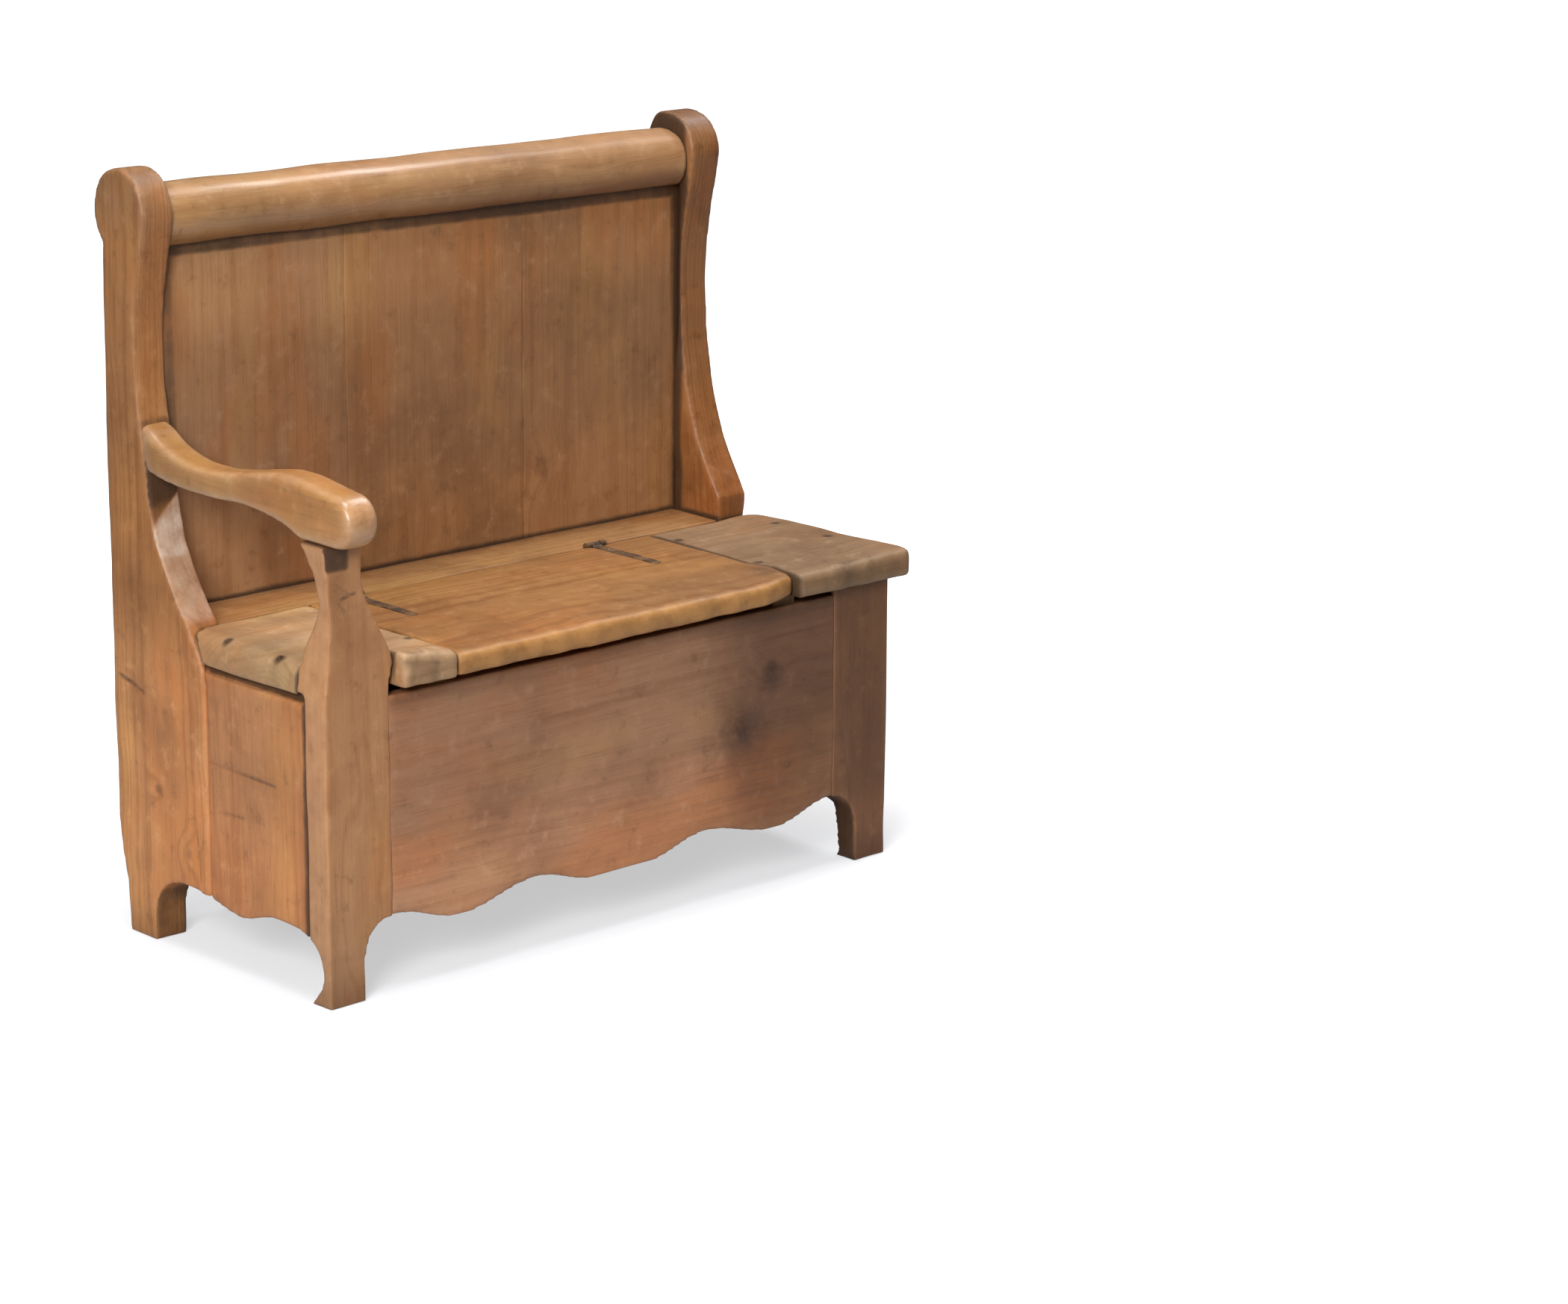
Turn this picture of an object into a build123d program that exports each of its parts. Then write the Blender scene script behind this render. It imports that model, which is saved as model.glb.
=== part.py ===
"""Pine box settle with a round-headed panelled back, a hinged seat lid and one arm.

Every position is given in carcase coordinates: right from the outer face of the left end,
back from the front face of the posts, and up from the floor, in millimetres.
"""
import os
from math import cos, radians, sin, sqrt

from build123d import *

os.makedirs("parts", exist_ok=True)

# Carcase
carcase_width = 1000
carcase_depth = 452
seat_height = 448
seat_thickness = 36
end_thickness = 50
joint_slack = 0.5
tongue_depth = 12
tongue_thickness = 10

# Seat overhangs, measured from the carcase faces
overhang_front = 24
overhang_right = 18

# Uprights: rises above the seat, depths in front of the rear face
head_rise = 530
head_radius = 52
head_setback = 35
head_tuck_angle = 195
waist_rise = 352
waist_depth = 59
flare_rise = 148
flare_depth = 97
nose_rise = 32
nose_depth = 154
sweep_rise = 4
sweep_depth = 158
shoulder_drop = 76
stile_width = 194
edge_rounding = 4

# Rear feet
rear_foot_width = 57
heel_cut = 14
heel_height = 55
heel_top = 165

# Front posts
post_width = 105
post_depth = 62
post_face_depth = 45
front_foot_width = 60

# Arm support, sawn from the upper part of the left post
support_rise = 164
support_ear = 111
support_top_width = 62
support_top_depth = 48
support_neck = 30
support_waist_rise = 87
support_waist_depth = 24
support_waist_inset = 9
support_flare_drop = 12
support_tenon_width = 26
support_tenon_depth = 24
support_tenon_length = 34

# Arm, as thick as the ends: rises above the seat
arm_reach = 56
arm_nose_radius = 34
arm_swell_rise = 243
arm_swell_setback = 92
arm_dip_rise = 223
arm_dip_depth = 166
arm_under_rise = 186
arm_under_slope = 5
arm_rear_top_rise = 271
arm_rear_under_rise = 203
arm_rounding = 9
arm_tenon_thickness = 22
arm_tenon_height = 26
arm_tenon_length = 24
arm_tenon_rise = 224

# Sawn skirts: crest and drop heights, and where they come along each side
side_crest_height = 94
side_drop_height = 77
side_crest_setback = 107
side_drop_setback = 187
side_rear_crest_depth = 145
ankle_depth = 17
ankle_height = 40
toe_depth = 39
rear_arch_height = 30
front_crest_height = 105
front_drop_height = 82
front_crest_inset = 108
front_drop_inset = 216
front_inner_crest = 152
front_centre_flat = 90
front_arch_height = 45
saw_overrun = 10

# End panels and front board
panel_thickness = 22
panel_setback = 3
panel_rebate_depth = 13
panel_rebate_height = 9
front_board_thickness = 22
front_board_setback = 1.5
front_board_gap = 12

# Back boards, crest roll and rear rail
back_board_depth = 56
back_board_thickness = 20
back_board_bottom = 100
back_groove_depth = 10
back_left_width = 350
back_right_width = 336
back_tongue_thickness = 7
back_tongue_depth = 8
roll_radius = 40
roll_tenon_radius = 18
roll_tenon_length = 25
roll_groove_depth = 14
rear_rail_thickness = 24
rear_rail_height = 60
rear_rail_tenon = 20

# Inside of the box
bearer_width = 40
bearer_height = 30
bearer_housing = 10
cleat_width = 22
cleat_height = 30
floor_bearer_base = 112
floor_bearer_size = 22
floor_thickness = 16
floor_board_count = 3
floor_gap = 1

# Seat boards, lid and lid battens
lid_left = 201
lid_right_inset = 189
lid_gap = 1.5
lid_lift = 0.6
seat_top_rounding = 11
seat_under_rounding = 6
seat_end_rounding = 20
seat_corner_radius = 26
batten_width = 44
batten_thickness = 22
batten_inset = 80
batten_setback = 45
batten_rear_setback = 26
hinge_clearance = 2

# Iron hinges: a strap let into the lid and a leaf let into the back strip
left_strap_inset = 74
right_strap_inset = 101
strap_length = 130
strap_width = 20
strap_tip_width = 13
strap_thickness = 3
strap_proud = 0.5
barrel_radius = 5
barrel_width = 36
barrel_middle = 16
barrel_slack = 0.4
barrel_rise = 1
pin_radius = 2.5
pin_slack = 0.05
pin_overhang = 1.5
leaf_thickness = 2.5
leaf_height = 28

# Nails
end_nail_front = 110
end_nail_rear = 220
bearer_nail_front = 70
bearer_nail_rear = 240
seat_nail_radius = 2.2
seat_nail_length = 60
strap_nail_radius = 1.5
strap_nail_length = 24
strap_nail_head = 3.6
strap_nail_dome = 1.6
strap_nail_first = 30
strap_nail_spacing = 40
strap_nail_count = 3
leaf_nail_radius = 1.6
leaf_nail_length = 20
leaf_nail_spacing = 22

# Heights and depths that follow from the sizes above
seat_underside = seat_height - seat_thickness
head_height = seat_height + head_rise
head_back = carcase_depth - head_setback
post_top = seat_height + support_rise
waist_front = carcase_depth - waist_depth
nose_front = carcase_depth - nose_depth
stile_front = carcase_depth - stile_width
heel = carcase_depth - heel_cut
rear_foot_front = heel - rear_foot_width
back_face = carcase_depth - back_board_depth
back_rear = back_face + back_board_thickness
back_board_top = head_height - roll_radius + roll_groove_depth
front_board_top = seat_underside - front_board_gap
front_board_inner = front_board_setback + front_board_thickness
front_board_middle = front_board_setback + front_board_thickness / 2
panel_middle = panel_setback + panel_thickness / 2
panel_tongue = (panel_middle - tongue_thickness / 2, panel_middle + tongue_thickness / 2)
board_tongue = (
    front_board_middle - tongue_thickness / 2,
    front_board_middle + tongue_thickness / 2,
)
hinge_line = nose_front - hinge_clearance
lid_right = carcase_width - lid_right_inset
lid_rear = hinge_line - lid_gap / 2
strip_front = hinge_line + lid_gap / 2
hinge_height = seat_height + barrel_rise
strap_top = seat_height + strap_proud
strap_bottom = strap_top - strap_thickness
bearer_base = seat_underside - bearer_height
bearer_lines = {"left": lid_left, "right": lid_right}
strap_lines = {"left": lid_left + left_strap_inset, "right": lid_right - right_strap_inset}
inner_span = (end_thickness + joint_slack, carcase_width - end_thickness - joint_slack)
arm_end = waist_front + arm_tenon_length
arm_joint = seat_height + arm_tenon_rise
arm_tenon = (
    ((end_thickness - arm_tenon_thickness) / 2, (end_thickness + arm_tenon_thickness) / 2),
    (waist_front - arm_tenon_height, arm_end),
    (arm_joint - arm_tenon_height / 2, arm_joint + arm_tenon_height / 2),
)

# The origin stands on the floor, in the middle of the settle's own box
left_face = -(carcase_width + overhang_right) / 2
front_face = -(carcase_depth + head_radius - head_setback - arm_reach) / 2


def side_plane(right):
    """Plane facing right: local x runs back from the front face, local y is height."""
    return Plane(origin=(left_face + right, front_face, 0), x_dir=(0, 1, 0), z_dir=(1, 0, 0))


def front_plane(back):
    """Plane facing the front: local x runs right from the left end, local y is height."""
    return Plane(origin=(left_face, front_face + back, 0), x_dir=(1, 0, 0), z_dir=(0, -1, 0))


def level_plane(height):
    """Plane facing up: local x runs right from the left end, local y runs back."""
    return Plane(origin=(left_face, front_face, height))


def slab(right, back, up, mode=Mode.ADD):
    """Straight-sawn block between pairs of carcase coordinates."""
    with Locations((left_face + right[0], front_face + back[0], up[0])):
        Box(
            right[1] - right[0],
            back[1] - back[0],
            up[1] - up[0],
            align=(Align.MIN, Align.MIN, Align.MIN),
            mode=mode,
        )


def rod(right, back, height, radius, mode=Mode.ADD):
    """Round bar along the width, between two distances from the left end."""
    with BuildSketch(side_plane(right[0])) as section:
        with Locations((back, height)):
            Circle(radius)
    extrude(section.sketch, amount=right[1] - right[0], mode=mode)


def upright_pin(right, back, up, radius, mode=Mode.ADD):
    """Round pin standing between two heights."""
    with BuildSketch(level_plane(up[0])) as section:
        with Locations((right, back)):
            Circle(radius)
    extrude(section.sketch, amount=up[1] - up[0], mode=mode)


def end_span(side, outer, inner):
    """Distances from the left end of a span measured inwards from one end's outer face."""
    if side == "left":
        return outer, inner
    return carcase_width - inner, carcase_width - outer


def seat_nails(side, mode):
    """Four nails that hold one fixed seat board, two in its end panel and two in its bearer."""
    nail_span = (seat_height - seat_nail_length, seat_height)
    over_panel = end_span(side, panel_middle, panel_middle)[0]
    outwards = -1 if side == "left" else 1
    over_bearer = bearer_lines[side] + outwards * bearer_width / 4
    for back in (end_nail_front, end_nail_rear):
        upright_pin(over_panel, back, nail_span, seat_nail_radius, mode)
    for back in (bearer_nail_front, bearer_nail_rear):
        upright_pin(over_bearer, back, nail_span, seat_nail_radius, mode)


def strap_nail_shanks(line, mode):
    """Shanks of the nails down one hinge strap."""
    for index in range(strap_nail_count):
        back = hinge_line - strap_nail_first - index * strap_nail_spacing
        shank = (strap_top - strap_nail_length, strap_top)
        upright_pin(line, back, shank, strap_nail_radius, mode)


def leaf_nail_shanks(line, mode):
    """Two nails that hold one hinge leaf to the edge of the back strip, driven from the front."""
    with BuildSketch(front_plane(strip_front)) as sections:
        with Locations((line, seat_height - seat_thickness / 2)):
            with GridLocations(leaf_nail_spacing, 0, 2, 1):
                Circle(leaf_nail_radius)
    extrude(sections.sketch, amount=-leaf_nail_length, mode=mode)


def finish(builder, name):
    """Name a finished piece and write it out."""
    builder.part.label = name
    export_step(builder.part, f"parts/{name}.step")


def cut_side_skirt(right):
    """Saw the lower edge of an end: toe, ankle, two crests, a drop and the rear foot."""
    rear_crest = carcase_depth - side_rear_crest_depth
    with BuildSketch(side_plane(right[0])) as waste:
        with BuildLine():
            Line((toe_depth, -saw_overrun), (toe_depth, 0))
            Spline((toe_depth, 0), (ankle_depth, ankle_height), tangents=((-0.5, 0.9), (0, 1)))
            Spline(
                (ankle_depth, ankle_height),
                (side_crest_setback, side_crest_height),
                tangents=((0, 1), (1, 0)),
            )
            Spline(
                (side_crest_setback, side_crest_height),
                (side_drop_setback, side_drop_height),
                (rear_crest, side_crest_height),
                tangents=((1, 0), (1, 0)),
            )
            Spline(
                (rear_crest, side_crest_height),
                (rear_foot_front, rear_arch_height),
                tangents=((1, 0), (0, -1)),
            )
            Line((rear_foot_front, rear_arch_height), (rear_foot_front, -saw_overrun))
            Line((rear_foot_front, -saw_overrun), (toe_depth, -saw_overrun))
        make_face()
    extrude(waste.sketch, amount=right[1] - right[0], mode=Mode.SUBTRACT)


def cut_front_skirt(back):
    """Saw the lower edge of the front: an arch at each foot and three shallow drops."""
    middle = carcase_width / 2
    inner_crest = middle - front_inner_crest
    flat_start = middle - front_centre_flat / 2
    level = ((1, 0), (1, 0))
    with BuildSketch(front_plane(back[0])) as waste:
        with BuildLine():
            Line((middle, -saw_overrun), (front_foot_width, -saw_overrun))
            Line((front_foot_width, -saw_overrun), (front_foot_width, front_arch_height))
            Spline(
                (front_foot_width, front_arch_height),
                (front_crest_inset, front_crest_height),
                tangents=((0, 1), (1, 0)),
            )
            Spline(
                (front_crest_inset, front_crest_height),
                (front_drop_inset, front_drop_height),
                tangents=level,
            )
            Spline(
                (front_drop_inset, front_drop_height),
                (inner_crest, front_crest_height),
                tangents=level,
            )
            Spline(
                (inner_crest, front_crest_height),
                (flat_start, front_drop_height),
                tangents=level,
            )
            Line((flat_start, front_drop_height), (middle, front_drop_height))
            Line((middle, front_drop_height), (middle, -saw_overrun))
        make_face()
        mirror(about=Plane.YZ.offset(middle))
    extrude(waste.sketch, amount=back[0] - back[1], mode=Mode.SUBTRACT)


def draw_upright(side):
    """Side outline of an upright: foot, straight back edge, round head, waist and flare.

    The left flare sweeps on down past the end of the seat, and the right one ends in a blunt nose
    that stands on the seat.
    """
    neck = head_height - sqrt(head_radius**2 - head_setback**2)
    tuck = radians(head_tuck_angle)
    tuck_point = (head_back + head_radius * cos(tuck), head_height + head_radius * sin(tuck))
    waist = (waist_front, seat_height + waist_rise)
    flare = (carcase_depth - flare_depth, seat_height + flare_rise)
    sweep = (carcase_depth - sweep_depth, seat_height + sweep_rise)
    shoulder = (stile_front, seat_height - shoulder_drop)
    nose = (nose_front, seat_height + nose_rise)
    with BuildLine() as outline:
        Line((stile_front, 0), (heel, 0))
        Line((heel, 0), (heel, heel_height))
        Spline((heel, heel_height), (carcase_depth, heel_top), tangents=((0, 1), (0, 1)))
        Line((carcase_depth, heel_top), (carcase_depth, neck))
        ThreePointArc((carcase_depth, neck), (head_back, head_height + head_radius), tuck_point)
        Spline(tuck_point, waist, tangents=((-sin(tuck), cos(tuck)), (0, -1)))
        if side == "left":
            Spline(waist, flare, sweep, shoulder, tangents=((0, -1), (0, -1)))
            Line(shoulder, (stile_front, 0))
        else:
            Spline(waist, flare, nose, tangents=((0, -1), (-0.55, -0.84)))
            Line(nose, (nose_front, seat_underside))
            Line((nose_front, seat_underside), (stile_front, seat_underside))
            Line((stile_front, seat_underside), (stile_front, 0))
    make_face(outline.edges())


def fit_round_left_upright():
    """Cut a piece at the left end back to the outline of the upright."""
    with BuildSketch(side_plane(0)) as outline:
        draw_upright("left")
    extrude(outline.sketch, amount=end_thickness, mode=Mode.SUBTRACT)


# Uprights: one plank each, from the rear foot to the round head
for side in ("left", "right"):
    span = end_span(side, 0, end_thickness)
    with BuildPart() as upright:
        with BuildSketch(side_plane(span[0])):
            draw_upright(side)
        extrude(amount=end_thickness)
        outline_edges = upright.faces().filter_by(Axis.X).edges()
        fillet(
            outline_edges.filter_by(lambda edge: edge.center().Z > seat_height + nose_rise),
            edge_rounding,
        )
        cut_side_skirt(span)
        slab(
            end_span(side, *panel_tongue),
            (stile_front, stile_front + tongue_depth + joint_slack),
            (0, seat_underside),
            mode=Mode.SUBTRACT,
        )
        slab(
            end_span(side, end_thickness - back_groove_depth - joint_slack, end_thickness),
            (back_face, back_rear),
            (back_board_bottom, back_board_top + joint_slack),
            mode=Mode.SUBTRACT,
        )
        slab(
            end_span(side, end_thickness - rear_rail_tenon - joint_slack, end_thickness),
            (back_rear, back_rear + rear_rail_thickness),
            (back_board_bottom, back_board_bottom + rear_rail_height),
            mode=Mode.SUBTRACT,
        )
        rod(
            end_span(side, end_thickness - roll_tenon_length - joint_slack, end_thickness),
            head_back,
            head_height,
            roll_tenon_radius,
            mode=Mode.SUBTRACT,
        )
        if side == "left":
            slab(*arm_tenon, mode=Mode.SUBTRACT)
    finish(upright, f"{side}_upright")


def cut_post_joints(side):
    """Saw a front post's foot, and cut its end-panel rebate and front-board groove."""
    cut_side_skirt(end_span(side, 0, post_width))
    cut_front_skirt((0, post_depth))
    slab(
        end_span(side, 0, panel_setback + panel_thickness),
        (post_face_depth, post_depth),
        (0, seat_underside),
        mode=Mode.SUBTRACT,
    )
    slab(
        end_span(side, post_width - tongue_depth - joint_slack, post_width),
        board_tongue,
        (0, front_board_top),
        mode=Mode.SUBTRACT,
    )


# Left front post: foot, box corner and arm support in one plank, sawn to shape from two sides
with BuildPart() as left_front_post:
    ear = (support_ear, seat_height)
    neck = (support_top_width, post_top - support_neck)
    with BuildSketch(front_plane(0)):
        with BuildLine():
            Line((0, 0), (post_width, 0))
            Line((post_width, 0), (post_width, seat_underside))
            Spline((post_width, seat_underside), ear, tangents=((0, 1), (0, 1)))
            Spline(ear, neck, tangents=((-0.3, 1), (0, 1)))
            Line(neck, (support_top_width, post_top))
            Line((support_top_width, post_top), (0, post_top))
            ThreePointArc(
                (0, post_top),
                (support_waist_inset, (post_top + seat_underside) / 2),
                (0, seat_underside),
            )
            Line((0, seat_underside), (0, 0))
        make_face()
    extrude(amount=-post_depth)
    with BuildSketch(side_plane(0)):
        with BuildLine():
            Line((0, 0), (post_depth, 0))
            Line((post_depth, 0), (post_depth, seat_height - support_flare_drop))
            Spline(
                (post_depth, seat_height - support_flare_drop),
                (support_waist_depth, seat_height + support_waist_rise),
                (support_top_depth, post_top),
                tangents=((-0.2, 1), (0.5, 1)),
            )
            Line((support_top_depth, post_top), (0, post_top))
            Line((0, post_top), (0, 0))
        make_face()
    extrude(amount=support_ear, mode=Mode.INTERSECT)
    cut_post_joints("left")
    slab(
        ((end_thickness - support_tenon_width) / 2, (end_thickness + support_tenon_width) / 2),
        (
            (support_top_depth - support_tenon_depth) / 2,
            (support_top_depth + support_tenon_depth) / 2,
        ),
        (post_top, post_top + support_tenon_length),
    )
finish(left_front_post, "left_front_post")

# Right front post: the same plank, cut off level under the seat
with BuildPart() as right_front_post:
    slab(end_span("right", 0, post_width), (0, post_depth), (0, seat_underside))
    cut_post_joints("right")
finish(right_front_post, "right_front_post")

# Arm: one thick plank sawn to a long S, ending in a rolled-over nose in front of its support.
# Its rear end is scribed to the upright's sawn edge and tenoned into it.
with BuildPart() as arm:
    nose_centre = arm_nose_radius - arm_reach
    nose_top = (nose_centre, post_top + 2 * arm_nose_radius)
    swell = (arm_swell_setback, seat_height + arm_swell_rise)
    dip = (carcase_depth - arm_dip_depth, seat_height + arm_dip_rise)
    under_swell = (arm_swell_setback, seat_height + arm_under_rise - arm_under_slope)
    under_dip = (carcase_depth - arm_dip_depth, seat_height + arm_under_rise)
    rear_top = (waist_front, seat_height + arm_rear_top_rise)
    rear_under = (waist_front, seat_height + arm_rear_under_rise)
    with BuildSketch(side_plane(0)):
        with BuildLine():
            Line((nose_centre, post_top), (support_top_depth, post_top))
            Spline(
                (support_top_depth, post_top),
                under_swell,
                under_dip,
                rear_under,
                tangents=((0.8, 0.6), (1, 0.25)),
            )
            Line(rear_under, (arm_end, rear_under[1]))
            Line((arm_end, rear_under[1]), (arm_end, rear_top[1]))
            Line((arm_end, rear_top[1]), rear_top)
            Spline(rear_top, dip, swell, nose_top, tangents=((-0.75, -0.66), (-1, -0.15)))
            ThreePointArc(
                nose_top,
                (-arm_reach, post_top + arm_nose_radius),
                (nose_centre, post_top),
            )
        make_face()
    extrude(amount=end_thickness)
    long_edges = arm.faces().filter_by(Axis.X).edges()
    top_edges = long_edges.filter_by(GeomType.BSPLINE).sort_by(Axis.Z)[-2:]
    fillet(top_edges + long_edges.filter_by(GeomType.CIRCLE), arm_rounding)
    fit_round_left_upright()
    slab(*arm_tenon)
    add(left_front_post.part, mode=Mode.SUBTRACT)
finish(arm, "arm")

# End panels: one board each, let into the post's rebate and the stile's groove. The left one is
# scribed to the curve of the stile, and a rebate along the top leaves a gap under the seat.
for side in ("left", "right"):
    with BuildPart() as end_panel:
        panel_rear = stile_front + (tongue_depth if side == "left" else 0)
        slab(
            end_span(side, panel_setback, panel_setback + panel_thickness),
            (post_face_depth, panel_rear),
            (0, seat_underside),
        )
        if side == "left":
            fit_round_left_upright()
        slab(
            end_span(side, 0, panel_rebate_depth),
            (post_face_depth, panel_rear),
            (seat_underside - panel_rebate_height, seat_underside),
            mode=Mode.SUBTRACT,
        )
        slab(
            end_span(side, *panel_tongue),
            (stile_front, stile_front + tongue_depth),
            (0, seat_underside),
        )
        cut_side_skirt(end_span(side, 0, end_thickness))
        seat_nails(side, Mode.SUBTRACT)
    finish(end_panel, f"{side}_end_panel")

# Front board: tongued into the posts, housed for the seat bearers, skirt sawn below
with BuildPart() as front_board:
    slab(
        (post_width, carcase_width - post_width),
        (front_board_setback, front_board_inner),
        (0, front_board_top),
    )
    slab(
        (post_width - tongue_depth, carcase_width - post_width + tongue_depth),
        board_tongue,
        (0, front_board_top),
    )
    cut_front_skirt((0, front_board_inner))
    for line in bearer_lines.values():
        slab(
            (line - bearer_width / 2, line + bearer_width / 2),
            (front_board_inner - bearer_housing, front_board_inner),
            (bearer_base, seat_underside),
            mode=Mode.SUBTRACT,
        )
finish(front_board, "front_board")

# Back boards: tongued together, grooved into the uprights, tops hidden in the roll
back_edges = (
    end_thickness - back_groove_depth,
    back_left_width,
    carcase_width - back_right_width,
    carcase_width - end_thickness + back_groove_depth,
)
back_names = ("back_board_left", "back_board_middle", "back_board_right")
back_middle = (back_face + back_rear) / 2
back_tongue = (back_middle - back_tongue_thickness / 2, back_middle + back_tongue_thickness / 2)
back_height = (back_board_bottom, back_board_top)
for index, name in enumerate(back_names):
    left_edge, right_edge = back_edges[index], back_edges[index + 1]
    with BuildPart() as back_board:
        slab((left_edge, right_edge), (back_face, back_rear), back_height)
        if index > 0:
            groove = (left_edge, left_edge + back_tongue_depth + joint_slack)
            slab(groove, back_tongue, back_height, mode=Mode.SUBTRACT)
        if index < len(back_names) - 1:
            slab((right_edge, right_edge + back_tongue_depth), back_tongue, back_height)
    finish(back_board, name)

# Crest roll: a turned rail between the round heads, grooved below for the back boards
with BuildPart() as crest_roll:
    roll_ends = (end_thickness, carcase_width - end_thickness)
    rod(roll_ends, head_back, head_height, roll_radius)
    tenon_ends = (roll_ends[0] - roll_tenon_length, roll_ends[1] + roll_tenon_length)
    rod(tenon_ends, head_back, head_height, roll_tenon_radius)
    slab(
        roll_ends,
        (back_face, back_rear),
        (head_height - 2 * roll_radius, back_board_top),
        mode=Mode.SUBTRACT,
    )
finish(crest_roll, "crest_roll")

# Rear rail: behind the foot of the back boards, tenoned into the uprights
with BuildPart() as rear_rail:
    slab(
        (end_thickness - rear_rail_tenon, carcase_width - end_thickness + rear_rail_tenon),
        (back_rear, back_rear + rear_rail_thickness),
        (back_board_bottom, back_board_bottom + rear_rail_height),
    )
finish(rear_rail, "rear_rail")

# Back cleat: a batten across the back boards that carries the rear ends of the bearers
with BuildPart() as back_cleat:
    slab(inner_span, (back_face - cleat_width, back_face), (bearer_base - cleat_height, bearer_base))
finish(back_cleat, "back_cleat")

# Seat bearers: front to back under each end of the lid
for side, line in bearer_lines.items():
    with BuildPart() as seat_bearer:
        slab(
            (line - bearer_width / 2, line + bearer_width / 2),
            (front_board_inner - bearer_housing, back_face),
            (bearer_base, seat_underside),
        )
        seat_nails(side, Mode.SUBTRACT)
    finish(seat_bearer, f"{side}_seat_bearer")

# Floor bearers: square battens behind the front board and before the back boards
floor_base = floor_bearer_base + floor_bearer_size
with BuildPart() as front_floor_bearer:
    slab(
        (post_width, carcase_width - post_width),
        (front_board_inner, front_board_inner + floor_bearer_size),
        (floor_bearer_base, floor_base),
    )
finish(front_floor_bearer, "front_floor_bearer")

with BuildPart() as rear_floor_bearer:
    slab(inner_span, (back_face - floor_bearer_size, back_face), (floor_bearer_base, floor_base))
finish(rear_floor_bearer, "rear_floor_bearer")

# Floor boards: end to end on the bearers, the foremost notched round the posts
floor_names = ("floor_board_front", "floor_board_middle", "floor_board_rear")
floor_pitch = (back_face - front_board_inner) / floor_board_count
for index, name in enumerate(floor_names):
    start = front_board_inner + index * floor_pitch
    with BuildPart() as floor_board:
        slab(
            inner_span,
            (start + floor_gap / 2, start + floor_pitch - floor_gap / 2),
            (floor_base, floor_base + floor_thickness),
        )
        for side in ("left", "right"):
            slab(
                end_span(side, 0, post_width + joint_slack),
                (0, post_depth + joint_slack),
                (floor_base, floor_base + floor_thickness),
                mode=Mode.SUBTRACT,
            )
    finish(floor_board, name)


def round_front_edge(builder):
    """Round the worn front edge of a seat board, more above than below."""
    front_edges = builder.faces().sort_by(Axis.Y)[0].edges().filter_by(Axis.X)
    fillet(front_edges.sort_by(Axis.Z)[-1], seat_top_rounding)
    front_edges = builder.faces().sort_by(Axis.Y)[0].edges().filter_by(Axis.X)
    fillet(front_edges.sort_by(Axis.Z)[0], seat_under_rounding)


# Fixed seat boards: the left one fits between post and stile, the right one runs past its end
seat_span = (seat_underside, seat_height)
with BuildPart() as seat_left_board:
    slab((panel_setback, lid_left - lid_gap / 2), (-overhang_front, lid_rear), seat_span)
    round_front_edge(seat_left_board)
    slab(
        (0, support_ear + joint_slack),
        (-overhang_front, post_depth + joint_slack),
        seat_span,
        mode=Mode.SUBTRACT,
    )
    end_edges = seat_left_board.faces().sort_by(Axis.X)[0].edges().filter_by(Axis.Y)
    fillet(end_edges.sort_by(Axis.Z)[-1], seat_end_rounding)
    fit_round_left_upright()
    seat_nails("left", Mode.SUBTRACT)
finish(seat_left_board, "seat_left_board")

with BuildPart() as seat_right_board:
    slab(
        (lid_right + lid_gap / 2, carcase_width + overhang_right),
        (-overhang_front, lid_rear),
        seat_span,
    )
    rear_corner = seat_right_board.edges().filter_by(Axis.Z).sort_by(Axis.X)[-2:].sort_by(Axis.Y)[-1]
    fillet(rear_corner, seat_corner_radius)
    round_front_edge(seat_right_board)
    end_edges = seat_right_board.faces().sort_by(Axis.X)[-1].edges().filter_by(Axis.Y)
    fillet(end_edges, seat_under_rounding)
    seat_nails("right", Mode.SUBTRACT)
finish(seat_right_board, "seat_right_board")


def draw_strap(line):
    """Plan of a hinge strap, from the barrel to its round tip."""
    tip = hinge_line - strap_length
    half, tip_half = strap_width / 2, strap_tip_width / 2
    with BuildLine() as outline:
        Line((line - half, hinge_line), (line - tip_half, tip))
        ThreePointArc((line - tip_half, tip), (line, tip - tip_half), (line + tip_half, tip))
        Line((line + tip_half, tip), (line + half, hinge_line))
        Line((line + half, hinge_line), (line - half, hinge_line))
    make_face(outline.edges())


def barrel_notch(line):
    """Clearance round a hinge barrel."""
    half = barrel_width / 2 + pin_overhang + barrel_slack
    notch_radius = barrel_radius + barrel_slack
    rod((line - half, line + half), hinge_line, hinge_height, notch_radius, mode=Mode.SUBTRACT)


# Back strip: the fixed board behind the lid, with the hinge leaves let into its front edge
with BuildPart() as seat_back_strip:
    slab(inner_span, (strip_front, back_face), seat_span)
    for line in strap_lines.values():
        slab(
            (line - barrel_width / 2, line + barrel_width / 2),
            (strip_front, strip_front + leaf_thickness),
            (seat_height - leaf_height, seat_height),
            mode=Mode.SUBTRACT,
        )
        barrel_notch(line)
        leaf_nail_shanks(line, Mode.SUBTRACT)
finish(seat_back_strip, "seat_back_strip")

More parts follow.
